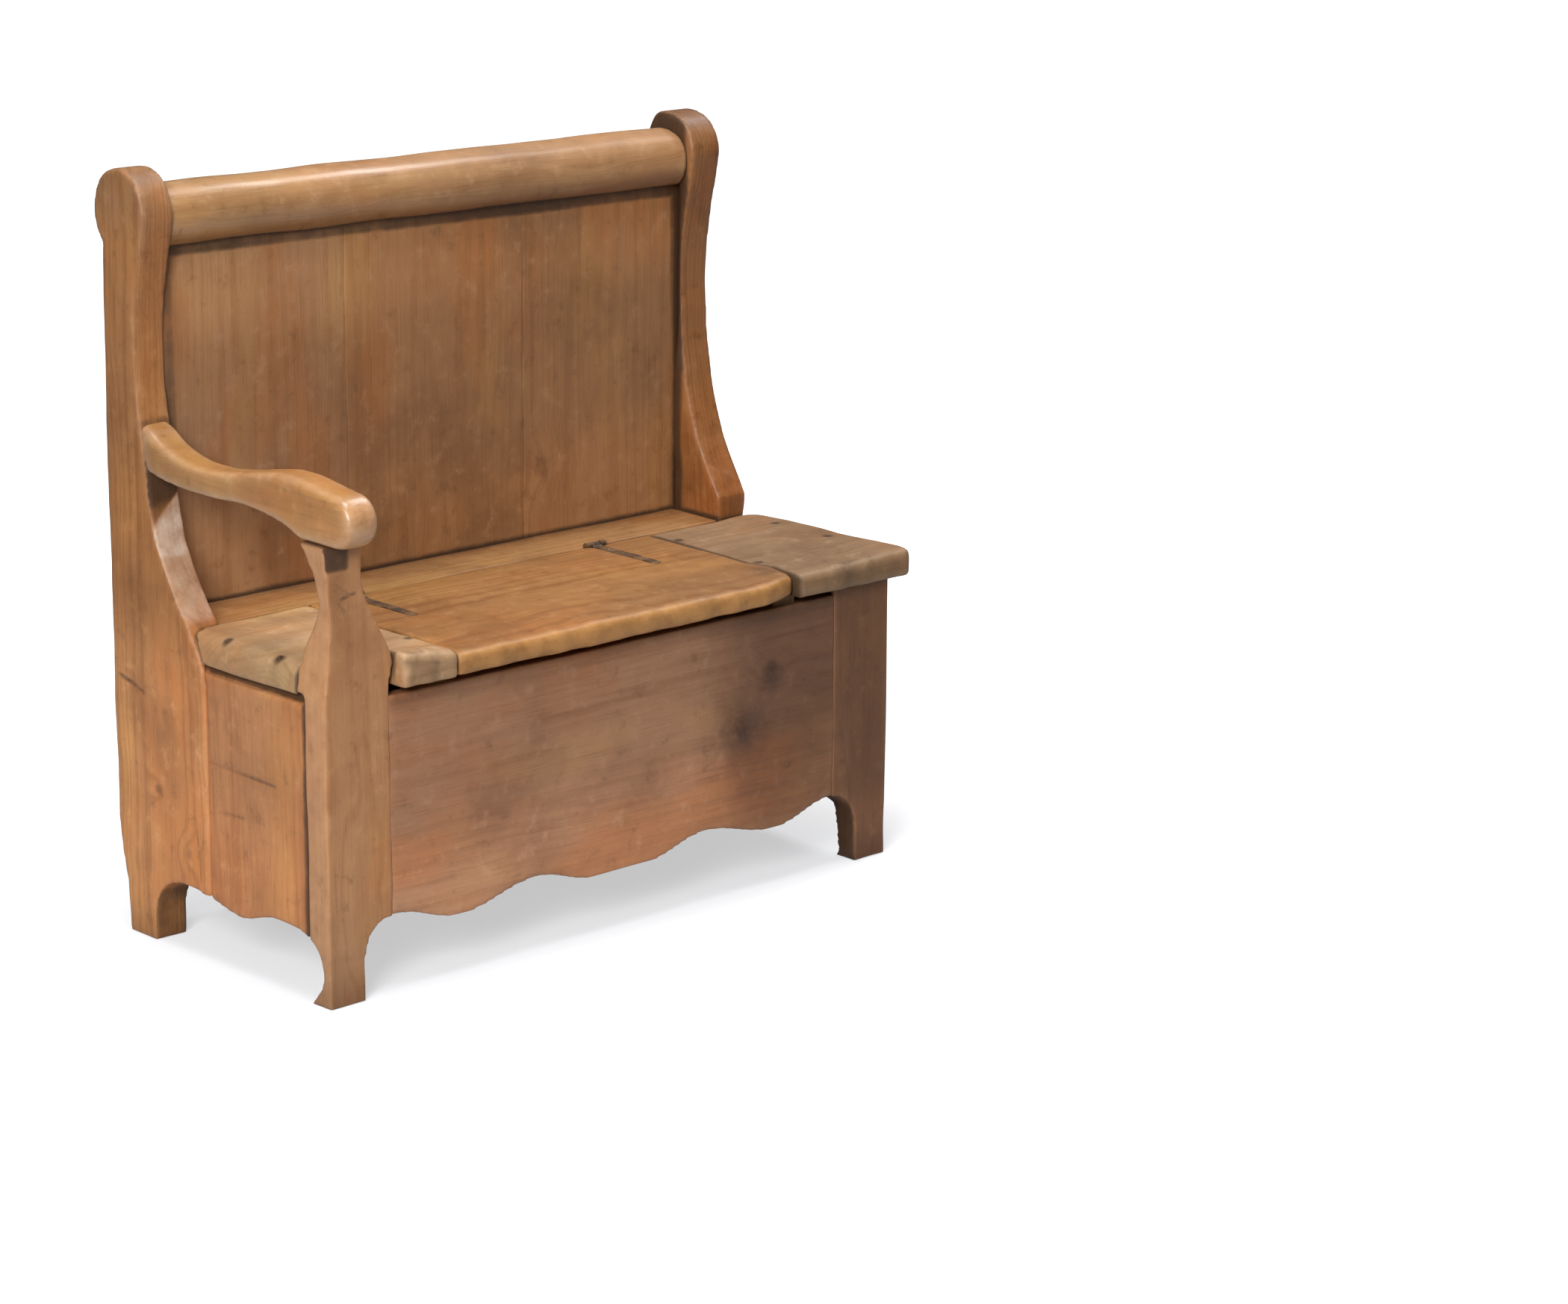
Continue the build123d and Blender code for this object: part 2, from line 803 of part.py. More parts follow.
# Lid: one wide board, with the hinge straps let into its top
with BuildPart() as seat_lid:
    slab(
        (lid_left + lid_gap / 2, lid_right - lid_gap / 2),
        (-overhang_front, lid_rear),
        (seat_underside + lid_lift, seat_height),
    )
    round_front_edge(seat_lid)
    for line in strap_lines.values():
        with BuildSketch(level_plane(strap_bottom)):
            draw_strap(line)
        extrude(amount=strap_thickness, mode=Mode.SUBTRACT)
        barrel_notch(line)
        strap_nail_shanks(line, Mode.SUBTRACT)
finish(seat_lid, "seat_lid")

# Lid battens: across the underside, kept clear of the bearers
batten_lines = {"left": lid_left + batten_inset, "right": lid_right - batten_inset}
for side, line in batten_lines.items():
    with BuildPart() as lid_batten:
        slab(
            (line - batten_width / 2, line + batten_width / 2),
            (batten_setback, hinge_line - batten_rear_setback),
            (seat_underside + lid_lift - batten_thickness, seat_underside + lid_lift),
        )
        lower_edges = lid_batten.faces().sort_by(Axis.Z)[0].edges()
        chamfer(lower_edges, edge_rounding)
    finish(lid_batten, f"{side}_lid_batten")

# Hinges: strap with the middle knuckle, leaf with the outer knuckles, and the pin through them
for side, line in strap_lines.items():
    bore = (line - barrel_width, line + barrel_width)
    with BuildPart() as hinge_strap:
        with BuildSketch(level_plane(strap_bottom)):
            draw_strap(line)
        extrude(amount=strap_thickness)
        for gap_side in ((line - barrel_width, line - barrel_middle / 2),
                         (line + barrel_middle / 2, line + barrel_width)):
            rod(gap_side, hinge_line, hinge_height, barrel_radius + barrel_slack, Mode.SUBTRACT)
        middle_knuckle = (line - barrel_middle / 2, line + barrel_middle / 2)
        rod(middle_knuckle, hinge_line, hinge_height, barrel_radius)
        rod(bore, hinge_line, hinge_height, pin_radius + pin_slack, Mode.SUBTRACT)
        strap_nail_shanks(line, Mode.SUBTRACT)
    finish(hinge_strap, f"{side}_hinge_strap")

    with BuildPart() as hinge_leaf:
        slab(
            (line - barrel_width / 2, line + barrel_width / 2),
            (strip_front, strip_front + leaf_thickness),
            (seat_height - leaf_height, hinge_height),
        )
        middle_gap = barrel_middle / 2 + barrel_slack
        rod(
            (line - middle_gap, line + middle_gap),
            hinge_line,
            hinge_height,
            barrel_radius + barrel_slack,
            Mode.SUBTRACT,
        )
        for knuckle in ((line - barrel_width / 2, line - middle_gap),
                        (line + middle_gap, line + barrel_width / 2)):
            rod(knuckle, hinge_line, hinge_height, barrel_radius)
        rod(bore, hinge_line, hinge_height, pin_radius + pin_slack, Mode.SUBTRACT)
        leaf_nail_shanks(line, Mode.SUBTRACT)
    finish(hinge_leaf, f"{side}_hinge_leaf")

    with BuildPart() as hinge_pin:
        half = barrel_width / 2 + pin_overhang
        rod((line - half, line + half), hinge_line, hinge_height, pin_radius)
    finish(hinge_pin, f"{side}_hinge_pin")

# Nails, one group for each kind
with BuildPart() as seat_board_nails:
    for side in ("left", "right"):
        seat_nails(side, Mode.ADD)
finish(seat_board_nails, "seat_board_nails")

with BuildPart() as strap_nails:
    for line in strap_lines.values():
        strap_nail_shanks(line, Mode.ADD)
        for index in range(strap_nail_count):
            back = hinge_line - strap_nail_first - index * strap_nail_spacing
            with Locations((left_face + line, front_face + back, strap_top)):
                Cone(
                    strap_nail_head,
                    strap_nail_head / 2,
                    strap_nail_dome,
                    align=(Align.CENTER, Align.CENTER, Align.MIN),
                )
finish(strap_nails, "strap_nails")

with BuildPart() as leaf_nails:
    for line in strap_lines.values():
        leaf_nail_shanks(line, Mode.ADD)
finish(leaf_nails, "leaf_nails")
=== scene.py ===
from math import radians

import bmesh
import bpy
import numpy as np
from mathutils import Matrix, Vector
from mathutils.bvhtree import BVHTree


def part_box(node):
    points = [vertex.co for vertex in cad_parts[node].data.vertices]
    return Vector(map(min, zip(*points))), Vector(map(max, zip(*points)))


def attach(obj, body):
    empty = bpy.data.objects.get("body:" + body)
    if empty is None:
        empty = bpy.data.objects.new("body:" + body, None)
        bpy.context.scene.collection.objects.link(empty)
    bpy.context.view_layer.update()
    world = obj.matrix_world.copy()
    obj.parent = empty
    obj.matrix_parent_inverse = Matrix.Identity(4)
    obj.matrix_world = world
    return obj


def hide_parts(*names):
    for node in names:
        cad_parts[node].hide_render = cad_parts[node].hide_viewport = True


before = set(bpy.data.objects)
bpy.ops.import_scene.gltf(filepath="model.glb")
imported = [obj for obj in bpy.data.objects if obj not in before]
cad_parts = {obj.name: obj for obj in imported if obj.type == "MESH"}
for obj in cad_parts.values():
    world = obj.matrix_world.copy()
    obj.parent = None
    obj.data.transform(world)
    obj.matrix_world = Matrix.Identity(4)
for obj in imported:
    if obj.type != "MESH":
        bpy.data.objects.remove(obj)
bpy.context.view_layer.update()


# Uprights: two thick pine planks, sawn from the rear foot to the round head in one piece.
# Years of wax and hands have rounded their edges, and the feet are dark from mopped floors.
left_end, post_fronts = -0.509, -0.2065


def spot(right, back, up):
    """A place on the settle, in millimetres right of the left end, back of the posts and up."""
    return Vector((right / 1000 + left_end, back / 1000 + post_fronts, up / 1000))


def right_of_end(points):
    """Millimetres right of the outer face of the left end."""
    return (points[:, 0] - left_end) * 1000


def back_of_posts(points):
    """Millimetres back of the front faces of the posts."""
    return (points[:, 1] - post_fronts) * 1000


def dark_joints_and_shade(points, neighbours, reach=0.012):
    """How dark each point of a piece is painted where it comes close to these neighbours: soiled joints, and
    painted shade where parts close over each other.
    """
    dirt_and_shade = np.zeros(len(points))
    for node in neighbours:
        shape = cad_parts[node].data
        solid = BVHTree.FromPolygons([v.co for v in shape.vertices], [p.vertices for p in shape.polygons])
        low, high = (np.array(corner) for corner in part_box(node))
        inside = (points > low - reach) & (points < high + reach)
        for index in np.flatnonzero(inside.all(1)):
            gap = solid.find_nearest(points[index], reach)[3]
            if gap is not None:
                dirt_and_shade[index] = max(dirt_and_shade[index], 1 - gap / reach)
    return dirt_and_shade


def worn_board(node, cell, soften, neighbours=(), faint=(), sway=0.0006, rub=1.0,
               reshape=None, polish_and_light=None, shade_and_darkening=None, scratches=()):
    """A board with its node's form: edges rounded by use, faces a little uneven, soiled joints and painted
    shade between parts.

    cell is the grain of its mesh and soften how far its edges are rounded. Soil and painted shade
    gather at neighbours, and less at faint ones. A scratch is (start, stop, width, depth of its dark mark).
    """
    board = bpy.data.objects.new("worn_" + node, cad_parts[node].data.copy())
    bpy.context.scene.collection.objects.link(board)
    shell = bmesh.new()
    shell.from_mesh(board.data)
    bmesh.ops.remove_doubles(shell, verts=shell.verts, dist=2e-6)
    shell.to_mesh(board.data)
    shell.free()
    skin = board.modifiers.new("skin", "REMESH")
    skin.mode, skin.voxel_size = "VOXEL", cell
    use = board.modifiers.new("use", "SMOOTH")
    use.factor, use.iterations = 0.5, soften
    seen = board.evaluated_get(bpy.context.evaluated_depsgraph_get())
    mesh = bpy.data.meshes.new_from_object(seen)
    board.modifiers.clear()
    board.data = mesh
    count = len(mesh.vertices)
    points, normals = np.empty(count * 3), np.empty(count * 3)
    mesh.vertices.foreach_get("co", points)
    mesh.vertices.foreach_get("normal", normals)
    points, normals = points.reshape(-1, 3), normals.reshape(-1, 3)
    ends = np.empty(len(mesh.edges) * 2, int)
    mesh.edges.foreach_get("vertices", ends)
    first, second = ends.reshape(-1, 2).T
    around = np.maximum(np.bincount(ends, minlength=count), 1)

    def mean_of_neighbours(values):
        total = np.bincount(first, values[second], count) + np.bincount(second, values[first], count)
        return total / around

    pull = np.stack([mean_of_neighbours(points[:, axis]) for axis in range(3)], 1) - points
    wear_and_light = np.clip(-(pull * normals).sum(1) / cell * 6, 0, 1)
    for _ in range(3):
        wear_and_light = 0.5 * wear_and_light + 0.5 * mean_of_neighbours(wear_and_light)
    wear_and_light = np.clip(wear_and_light * 1.6, 0, 1) * rub
    # A piece's own mask adds worn wood, and on the left flare and the posts' outer faces painted sheen and
    # painted light.
    if polish_and_light:
        wear_and_light = np.maximum(wear_and_light, polish_and_light(points, normals))
    faint_share, faint_reach, scratch_depth = 0.7, 0.006, 0.0012
    # Darkening near neighbours is soiled joints and painted shade between parts; a piece's own mask adds
    # painted shade and darker patches, and scratches add soil.
    dirt_and_shade = np.maximum(dark_joints_and_shade(points, neighbours), faint_share * dark_joints_and_shade(points, faint, faint_reach))
    if shade_and_darkening:
        dirt_and_shade = np.maximum(dirt_and_shade, shade_and_darkening(points, normals))
    for start, stop, width, depth in scratches:
        start, stop = np.array(spot(*start)), np.array(spot(*stop))
        run = stop - start
        share = np.clip((points - start) @ run / (run @ run), 0, 1)
        gap = np.linalg.norm(points - start - share[:, None] * run, axis=1)
        cut = np.clip(1 - gap / width, 0, 1) * depth
        dirt_and_shade = np.maximum(dirt_and_shade, cut)
        points = points - normals * (cut * scratch_depth)[:, None]
    waves = np.random.default_rng(len(node) * 7 + count % 5)
    uneven = np.zeros(count)
    for length in (0.21, 0.13, 0.085, 0.05):
        way = waves.normal(size=3)
        way *= 2 * np.pi / length / np.linalg.norm(way)
        uneven += np.sin(points @ way + waves.uniform(0, 6.28)) * length * 4
    points = points + normals * (uneven * sway)[:, None]
    if reshape:
        points = reshape(points)
    mesh.vertices.foreach_set("co", points.ravel())
    mesh.attributes.new("wear_and_light", "FLOAT", "POINT").data.foreach_set("value", wear_and_light)
    mesh.attributes.new("dirt_and_shade", "FLOAT", "POINT").data.foreach_set("value", dirt_and_shade)
    mesh.shade_smooth()
    mesh.update()
    return board


class Finish:
    """A finish being mixed: a material and the steps that lead to its surface."""

    def __init__(self, name):
        self.material = bpy.data.materials.new(name)
        self.material.use_nodes = True
        self.tree = self.material.node_tree
        self.surface = self.tree.nodes["Principled BSDF"]

    def step(self, kind, *given, **settings):
        node = self.tree.nodes.new("ShaderNode" + kind)
        for key, value in settings.items():
            setattr(node, key, value)
        for socket, value in zip(node.inputs, given):
            self.feed(socket, value)
        return node

    def feed(self, socket, value):
        if isinstance(value, bpy.types.NodeSocket):
            self.tree.links.new(value, socket)
        elif value is not None:
            socket.default_value = value

    def sum(self, *given, how="ADD"):
        return self.step("Math", *given, operation=how).outputs[0]

    def cloud(self, place, size, detail=2.0, rough=0.5):
        node = self.step("TexNoise", place)
        node.inputs["Scale"].default_value = size
        node.inputs["Detail"].default_value = detail
        node.inputs["Roughness"].default_value = rough
        return node.outputs

    def fade(self, value, start, end, low=0.0, high=1.0):
        return self.step("MapRange", value, start, end, low, high, interpolation_type="SMOOTHSTEP").outputs[0]

    def tint(self, amount, under, over, how="MIX"):
        node = self.step("Mix", data_type="RGBA", blend_type=how)
        self.feed(node.inputs[0], amount)
        self.feed(node.inputs[6], under)
        self.feed(node.inputs[7], over)
        return node.outputs[2]


def pine(name, grain, face, heart, pale, dark, ring=0.007, lines=0.4, knots=(), stains=(), shades=(),
         rough=0.5, wax=0.06, gloss=0.22, bare_and_sheen=None, dull_from=None):
    """Waxed pine: uneven year rings round the heart of the log, fibres, knots, old wax, soil and painted
    shade.

    grain is the axis along the fibres and face the axis out of the main face. Knots and stains
    are (right, back, up, size, depth), and shades (axis, start, end, strength, tone). The tone bare is
    that of worn wood, whitish where it also stands for a painted sheen, and between the two places
    of dull_from along X the shine fades.
    """
    wood = Finish(name)
    place = wood.step("TexCoord").outputs["Object"]
    x, y, z = wood.step("SeparateXYZ", place).outputs
    run, across, deep = {"X": (x, z, y), "Y": (y, x, z), "Z": (z, x, y)}[grain]

    def along_grain(run_scale, cross_scale):
        parts = [wood.sum(part, scale, how="MULTIPLY")
                 for part, scale in ((run, run_scale), (across, cross_scale), (deep, cross_scale))]
        return wood.step("CombineXYZ", *parts).outputs[0]

    def swing(value, reach):
        return wood.sum(wood.sum(value, -0.5), reach, how="MULTIPLY")

    def span(one, two):
        squares = wood.sum(one, one, how="MULTIPLY"), wood.sum(two, two, how="MULTIPLY")
        return wood.sum(wood.sum(*squares), how="SQRT")

    drift = wood.step("SeparateColor", wood.cloud(along_grain(1.5, 5.0), 1.0, 3.0)["Color"]).outputs
    count = span(wood.sum(wood.sum(across, -heart[0]), swing(drift[0], 0.07)),
                 wood.sum(wood.sum(deep, -heart[1]), swing(drift[1], 0.07)))
    count = wood.sum(count, ring, how="DIVIDE")
    blotch = wood.cloud(place, 8.0, 4.0, 0.6)[0]
    mottle = wood.cloud(place, 38.0, 4.0, 0.65)[0]
    patina = wood.step("SeparateColor", wood.cloud(along_grain(2.4, 6.0), 1.0, 4.0, 0.6)["Color"]).outputs
    centres = []
    for right, back, up, size, depth in knots:
        at = spot(right, back, up)
        near = {"X": (y, at.y), "Y": (x, at.x), "Z": (x, at.x)}[face]
        far = {"X": (z, at.z), "Y": (z, at.z), "Z": (y, at.y)}[face]
        gap = span(wood.sum(near[0], -near[1]), wood.sum(far[0], -far[1]))
        gap = wood.sum(gap, swing(mottle, size * 1.3))
        count = wood.sum(count, wood.fade(gap, size * 4.5, 0.0, 0.0, 2.2))
        centres.append((gap, size, depth))
    years = wood.step("TexNoise", None, count, 1.0, 2.5, 0.55, noise_dimensions="1D").outputs[0]
    late = wood.fade(years, 0.42, 0.68)
    fibre = wood.cloud(along_grain(11.0, 460.0), 1.0, 4.0, 0.65)[0]
    streak = wood.step("SeparateColor", wood.cloud(along_grain(2.2, 46.0), 1.0, 4.0, 0.6)["Color"]).outputs
    old_stain, mop_water, dust_and_shade_tone = (0.055, 0.028, 0.016, 1.0), (0.34, 0.29, 0.25, 1.0), (0.04, 0.02, 0.01, 1.0)
    knot_heart, knot_rim = (0.07, 0.028, 0.011, 1.0), (0.17, 0.07, 0.026, 1.0)
    deepen = [part * 0.6 for part in dark[:3]] + [1.0]
    lighten = [min(1.0, part * share) for part, share in zip(pale[:3], (1.25, 1.36, 1.55))] + [1.0]
    ruddy = [pale[0] * 1.02, pale[1] * 0.84, pale[2] * 0.66, 1.0]
    dull = [pale[0] * 0.7, pale[1] * 0.69, pale[2] * 0.7, 1.0]
    golden = [pale[0] * 1.14, pale[1] * 1.18, pale[2] * 0.98, 1.0]
    colour = wood.tint(wood.fade(patina[0], 0.44, 0.64), pale, ruddy)
    colour = wood.tint(wood.fade(patina[2], 0.5, 0.68, 0.0, 0.8), colour, golden)
    colour = wood.tint(wood.fade(patina[1], 0.48, 0.7, 0.0, 0.8), colour, dull)
    colour = wood.tint(wood.sum(late, lines, how="MULTIPLY"), colour, dark)
    colour = wood.tint(wood.fade(streak[1], 0.48, 0.78, 0.0, 0.6), colour, dark)
    colour = wood.tint(wood.fade(fibre, 0.5, 0.78, 0.0, 0.4), colour, deepen)
    colour = wood.tint(wood.fade(blotch, 0.45, 0.8, 0.0, 0.42), colour, deepen)
    colour = wood.tint(wood.fade(mottle, 0.52, 0.78, 0.0, 0.55), colour, lighten)
    colour = wood.tint(wood.fade(mottle, 0.44, 0.24, 0.0, 0.45), colour, deepen)
    for right, back, up, size, depth in stains:
        gap = wood.step("VectorMath", place, spot(right, back, up), operation="DISTANCE").outputs["Value"]
        gap = wood.sum(wood.sum(gap, swing(blotch, size * 1.6)), swing(mottle, size * 1.2))
        colour = wood.tint(wood.fade(gap, size * 1.2, 0.0, 0.0, depth), colour, old_stain)
    for gap, size, depth in centres:
        rings = wood.fade(mottle, 0.35, 0.65)
        core = wood.tint(rings, knot_heart, knot_rim)
        colour = wood.tint(wood.fade(gap, size * 1.3, size * 0.3, 0.0, depth), colour, core)
    for axis, start, end, strength, tone in shades:
        line = wood.sum({"X": x, "Y": y, "Z": z}[axis], swing(blotch, 0.3 * abs(end - start)))
        colour = wood.tint(wood.fade(line, start, end, 0.0, strength), colour, tone, how="MULTIPLY")
    wear_and_light = wood.step("Attribute", attribute_name="wear_and_light").outputs["Fac"]
    # Paler where worn: on the left flare and the posts' outer faces this is painted sheen and painted light.
    rubbed_and_lit = wood.sum(wear_and_light, wood.fade(mottle, 0.25, 0.75, 0.3, 0.78), how="MULTIPLY")
    colour = wood.tint(rubbed_and_lit, colour, bare_and_sheen or lighten)
    mopped = wood.fade(wood.sum(z, swing(blotch, 0.06)), 0.07, 0.0, 0.0, 0.5)
    colour = wood.tint(mopped, colour, mop_water, how="MULTIPLY")
    # Darker where the piece is soiled, and where painted shade lies between parts and under overhangs.
    dirt_and_shade = wood.step("Attribute", attribute_name="dirt_and_shade").outputs["Fac"]
    dirt_and_shade = wood.sum(wood.sum(dirt_and_shade, swing(mottle, 0.5)), swing(blotch, 0.5))
    colour = wood.tint(wood.fade(dirt_and_shade, 0.3, 0.95, 0.0, 0.88), colour, dust_and_shade_tone)
    wood.feed(wood.surface.inputs["Base Color"], colour)
    dullness = wood.sum(wood.sum(swing(fibre, 0.25), swing(mottle, 0.35)), rough)
    if dull_from:
        dullness = wood.sum(dullness, wood.fade(x, *dull_from, 0.0, 0.24))
    wood.feed(wood.surface.inputs["Roughness"], wood.sum(dullness, wood.sum(wear_and_light, -0.08, how="MULTIPLY")))
    height = wood.sum(wood.sum(late, 0.25, how="MULTIPLY"), wood.sum(fibre, 0.5, how="MULTIPLY"))
    height = wood.sum(height, wood.sum(mottle, 1.2, how="MULTIPLY"))
    relief = wood.step("Bump", 0.45, 0.0014)
    wood.feed(relief.inputs["Height"], height)
    wood.feed(wood.surface.inputs["Normal"], relief.outputs[0])
    wood.surface.inputs["Specular IOR Level"].default_value = 0.35
    coat = wood.fade(x, *dull_from, wax, 0.05) if dull_from else wax
    wood.feed(wood.surface.inputs["Coat Weight"], coat)
    wood.surface.inputs["Coat Roughness"].default_value = gloss
    return wood.material


def fix(piece, node, finish, body="frame"):
    """Dress a piece, put it in its node's place and let it move with its body."""
    piece.data.materials.clear()
    piece.data.materials.append(finish)
    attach(piece, body)
    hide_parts(node)


def ease_in(values, start, end):
    """From 0 at start to 1 at end, level at both ends."""
    share = np.clip((values - start) / (end - start), 0, 1)
    return share * share * (3 - 2 * share)


def under_arm(points, normals):
    """Front of the left flare: the share under the arm's painted shadow, and the worn share outside it."""
    right, up = right_of_end(points), points[:, 2] * 1000
    front = ease_in(-normals[:, 1], 0.35, 0.75) * (right < 60)
    arm_shadow = ease_in((up - 570) * 50 / 44 - right, -6, 8) * ease_in(up, 560, 575)
    return front * arm_shadow * (1 - ease_in(up, 655, 670)), front * (1 - arm_shadow)


def upright_shade_and_darkening(points, normals):
    """Darker along the rear edge and the crown, with painted shade on the front of the foot, under the arm and
    beside the back.
    """
    back, up = back_of_posts(points), points[:, 2]
    rear = 0.5 * ease_in(back, 415, 450) * (1 - ease_in(up, 0.6, 0.95))
    foot = 0.68 * ease_in(-normals[:, 1], 0.3, 0.8) * (1 - ease_in(up, 0.07, 0.1)) * ease_in(back, 340, 370)
    arm_shadow = under_arm(points, normals)[0] * (0.55 + 0.45 * ease_in(up, 0.585, 0.615))
    beside_back = 0.95 * ease_in(-normals[:, 0], 0.4, 0.8) * ease_in(back, 364, 386) * (points[:, 0] > 0)
    crown = 0.55 * ease_in(normals[:, 2], 0.2, 0.8) * ease_in(up, 0.97, 1.0)
    return np.maximum.reduce([rear, foot, arm_shadow, beside_back, crown])


def flare_sheen_and_wear(points, normals):
    """The front of the left flare is painted pale, nearly white close below the arm: worn by sleeves, with a
    painted sheen.
    """
    up = points[:, 2]
    bare_and_sheen = ease_in(up, 0.525, 0.54) * (1 - ease_in(up, 0.61, 0.64))
    pale = 0.5 * ease_in(up, 0.446, 0.47) * (1 - ease_in(up, 0.61, 0.64))
    head = 0.5 * ease_in(up, 0.9, 0.95) * (1 - ease_in(up, 0.985, 1.01))
    return under_arm(points, normals)[1] * np.maximum.reduce([bare_and_sheen, pale, head])


def full_rear(points):
    """The rear edge, which no hand reaches, has kept its full depth."""
    gain = np.interp(points[:, 2], (0, 0.1, 0.78, 0.86, 1.03), (8, 10, 10, 6, 4)) / 1000
    points[:, 1] += gain * ease_in(back_of_posts(points), 415, 445)
    return points


def hollow_flare(points):
    """The front of the left upright is sawn hollow between the arm and the seat, and its head stands tall."""
    back = back_of_posts(points)
    heights = (0.44, 0.455, 0.472, 0.5, 0.53, 0.55, 0.585, 0.615, 0.645, 0.67)
    edge = np.interp(points[:, 2], heights, (284, 297, 307, 326, 338, 345, 356, 365, 373, 380))
    cut = np.interp(points[:, 2], heights, (0, -4, 0, 3.5, 9, 13.5, 13, 9.5, 3, 0))
    points[:, 1] += (1 - ease_in(back - edge, 4, 30)) * cut / 1000
    points[:, 2] += 0.01 * ease_in(points[:, 2], 0.945, 1.02)
    return full_rear(points)


def thick_plank(points):
    """The right upright is a slightly thicker plank than the left one and has warped forwards at the top."""
    back = back_of_posts(points)
    points[:, 0] += 0.005 * ease_in(points[:, 0], 0.455, 0.48) * ease_in(points[:, 2], 0.43, 0.47)
    lean = np.interp(points[:, 2], (0.5, 0.56, 0.64, 0.75, 0.93, 1.03), (0, -0.004, 0, 0.01, 0.012, 0.006))
    points[:, 1] -= lean * (1 - ease_in(back, 385, 425))
    points[:, 1] -= 0.012 * ease_in(points[:, 2], 0.93, 0.98) * ease_in(back, 425, 465)
    return points


upright_planks = {
    "left": dict(
        heart_right=90, reshape=hollow_flare, rub=0.08,
        # The left flare's worn tone is whitish: worn wood and a painted sheen.
        pale=(0.335, 0.15, 0.052, 1), dark=(0.19, 0.066, 0.018, 1), bare_and_sheen=(0.66, 0.53, 0.43, 1),
        neighbours=(), faint=("arm", "seat_left_board", "back_board_left", "crest_roll"),
        knots=[(0, 367, 216, 0.008, 0.6), (0, 300, 140, 0.009, 0.35)],
        scratches=[((0, 438, 358), (0, 392, 344), 0.008, 0.75), ((0, 282, 180), (0, 275, 108), 0.007, 0.65)],
    ),
    "right": dict(
        heart_right=910, reshape=thick_plank, rub=0.3,
        pale=(0.25, 0.106, 0.036, 1), dark=(0.145, 0.048, 0.013, 1), bare_and_sheen=None,
        neighbours=("seat_right_board", "seat_back_strip"), faint=("back_board_right", "crest_roll"),
        knots=[(1000, 330, 250, 0.012, 0.5)], scratches=[],
    ),
}
lighter_low = ("Z", 0.5, 0.32, 1.0, (1.56, 1.7, 2.15, 1))
warmer_waist = ("Z", 0.75, 0.55, 1.0, (1.08, 1.02, 0.88, 1))
greyer_head = ("Z", 0.93, 1.0, 1.0, (0.86, 0.95, 1.15, 1))
for side, plank in upright_planks.items():
    heart = spot(plank["heart_right"], 350, 0)
    upright_pine = pine(side + "_upright_pine", "Z", "X", (heart.x, heart.y), plank["pale"], plank["dark"],
                        knots=plank["knots"], shades=[lighter_low, warmer_waist, greyer_head],
                        bare_and_sheen=plank["bare_and_sheen"])
    upright = worn_board(side + "_upright", 0.004, 3, plank["neighbours"], plank["faint"], rub=plank["rub"],
                         reshape=plank["reshape"], polish_and_light=flare_sheen_and_wear, shade_and_darkening=upright_shade_and_darkening,
                         scratches=plank["scratches"])
    fix(upright, side + "_upright", upright_pine)


# Front posts: the left plank goes up past the seat and is sawn in to carry the arm, and the
# right one stops under the seat. The left foot is sawn in at the ankle, the right one straight.
def post_painted_shade(points, normals):
    """Painted shadow close under the arm's nose, and painted shade on the inner face of the feet and of the
    right post.
    """
    outer_side = 1 - ease_in(right_of_end(points), 35, 50)
    nose_shadow = ease_in(points[:, 2], 0.57, 0.582) * ease_in(-normals[:, 1], 0.4, 0.8) * outer_side
    inner = ease_in(-normals[:, 0] * np.sign(points[:, 0]), 0.3, 0.7)
    low = 1 - ease_in(points[:, 2], 0.08, 0.11)
    return np.maximum(0.95 * nose_shadow, inner * np.maximum(0.9 * low, 0.58 * (points[:, 0] > 0)))


def post_side_light(points, normals):
    """The outer face of a post is painted paler than its front: painted light."""
    return 0.95 * ease_in(normals[:, 0] * np.sign(points[:, 0]), 0.5, 0.9)


def straight_foot(points):
    """The right foot runs straight down at the back, and its post stands a little out from the panel."""
    points[:, 0] += 0.003 * ease_in(points[:, 0], 0.46, 0.485)
    back, up = back_of_posts(points), points[:, 2] * 1000
    levels = np.arange(3, 84, 4)
    depth = np.array([back[np.abs(up - level) < 3].max() for level in levels])
    stretch = np.interp(up, [*levels, 90], [*np.maximum(1, (36 + 0.07 * levels) / depth), 1])
    points[:, 1] = back * stretch / 1000 + post_fronts
    return points


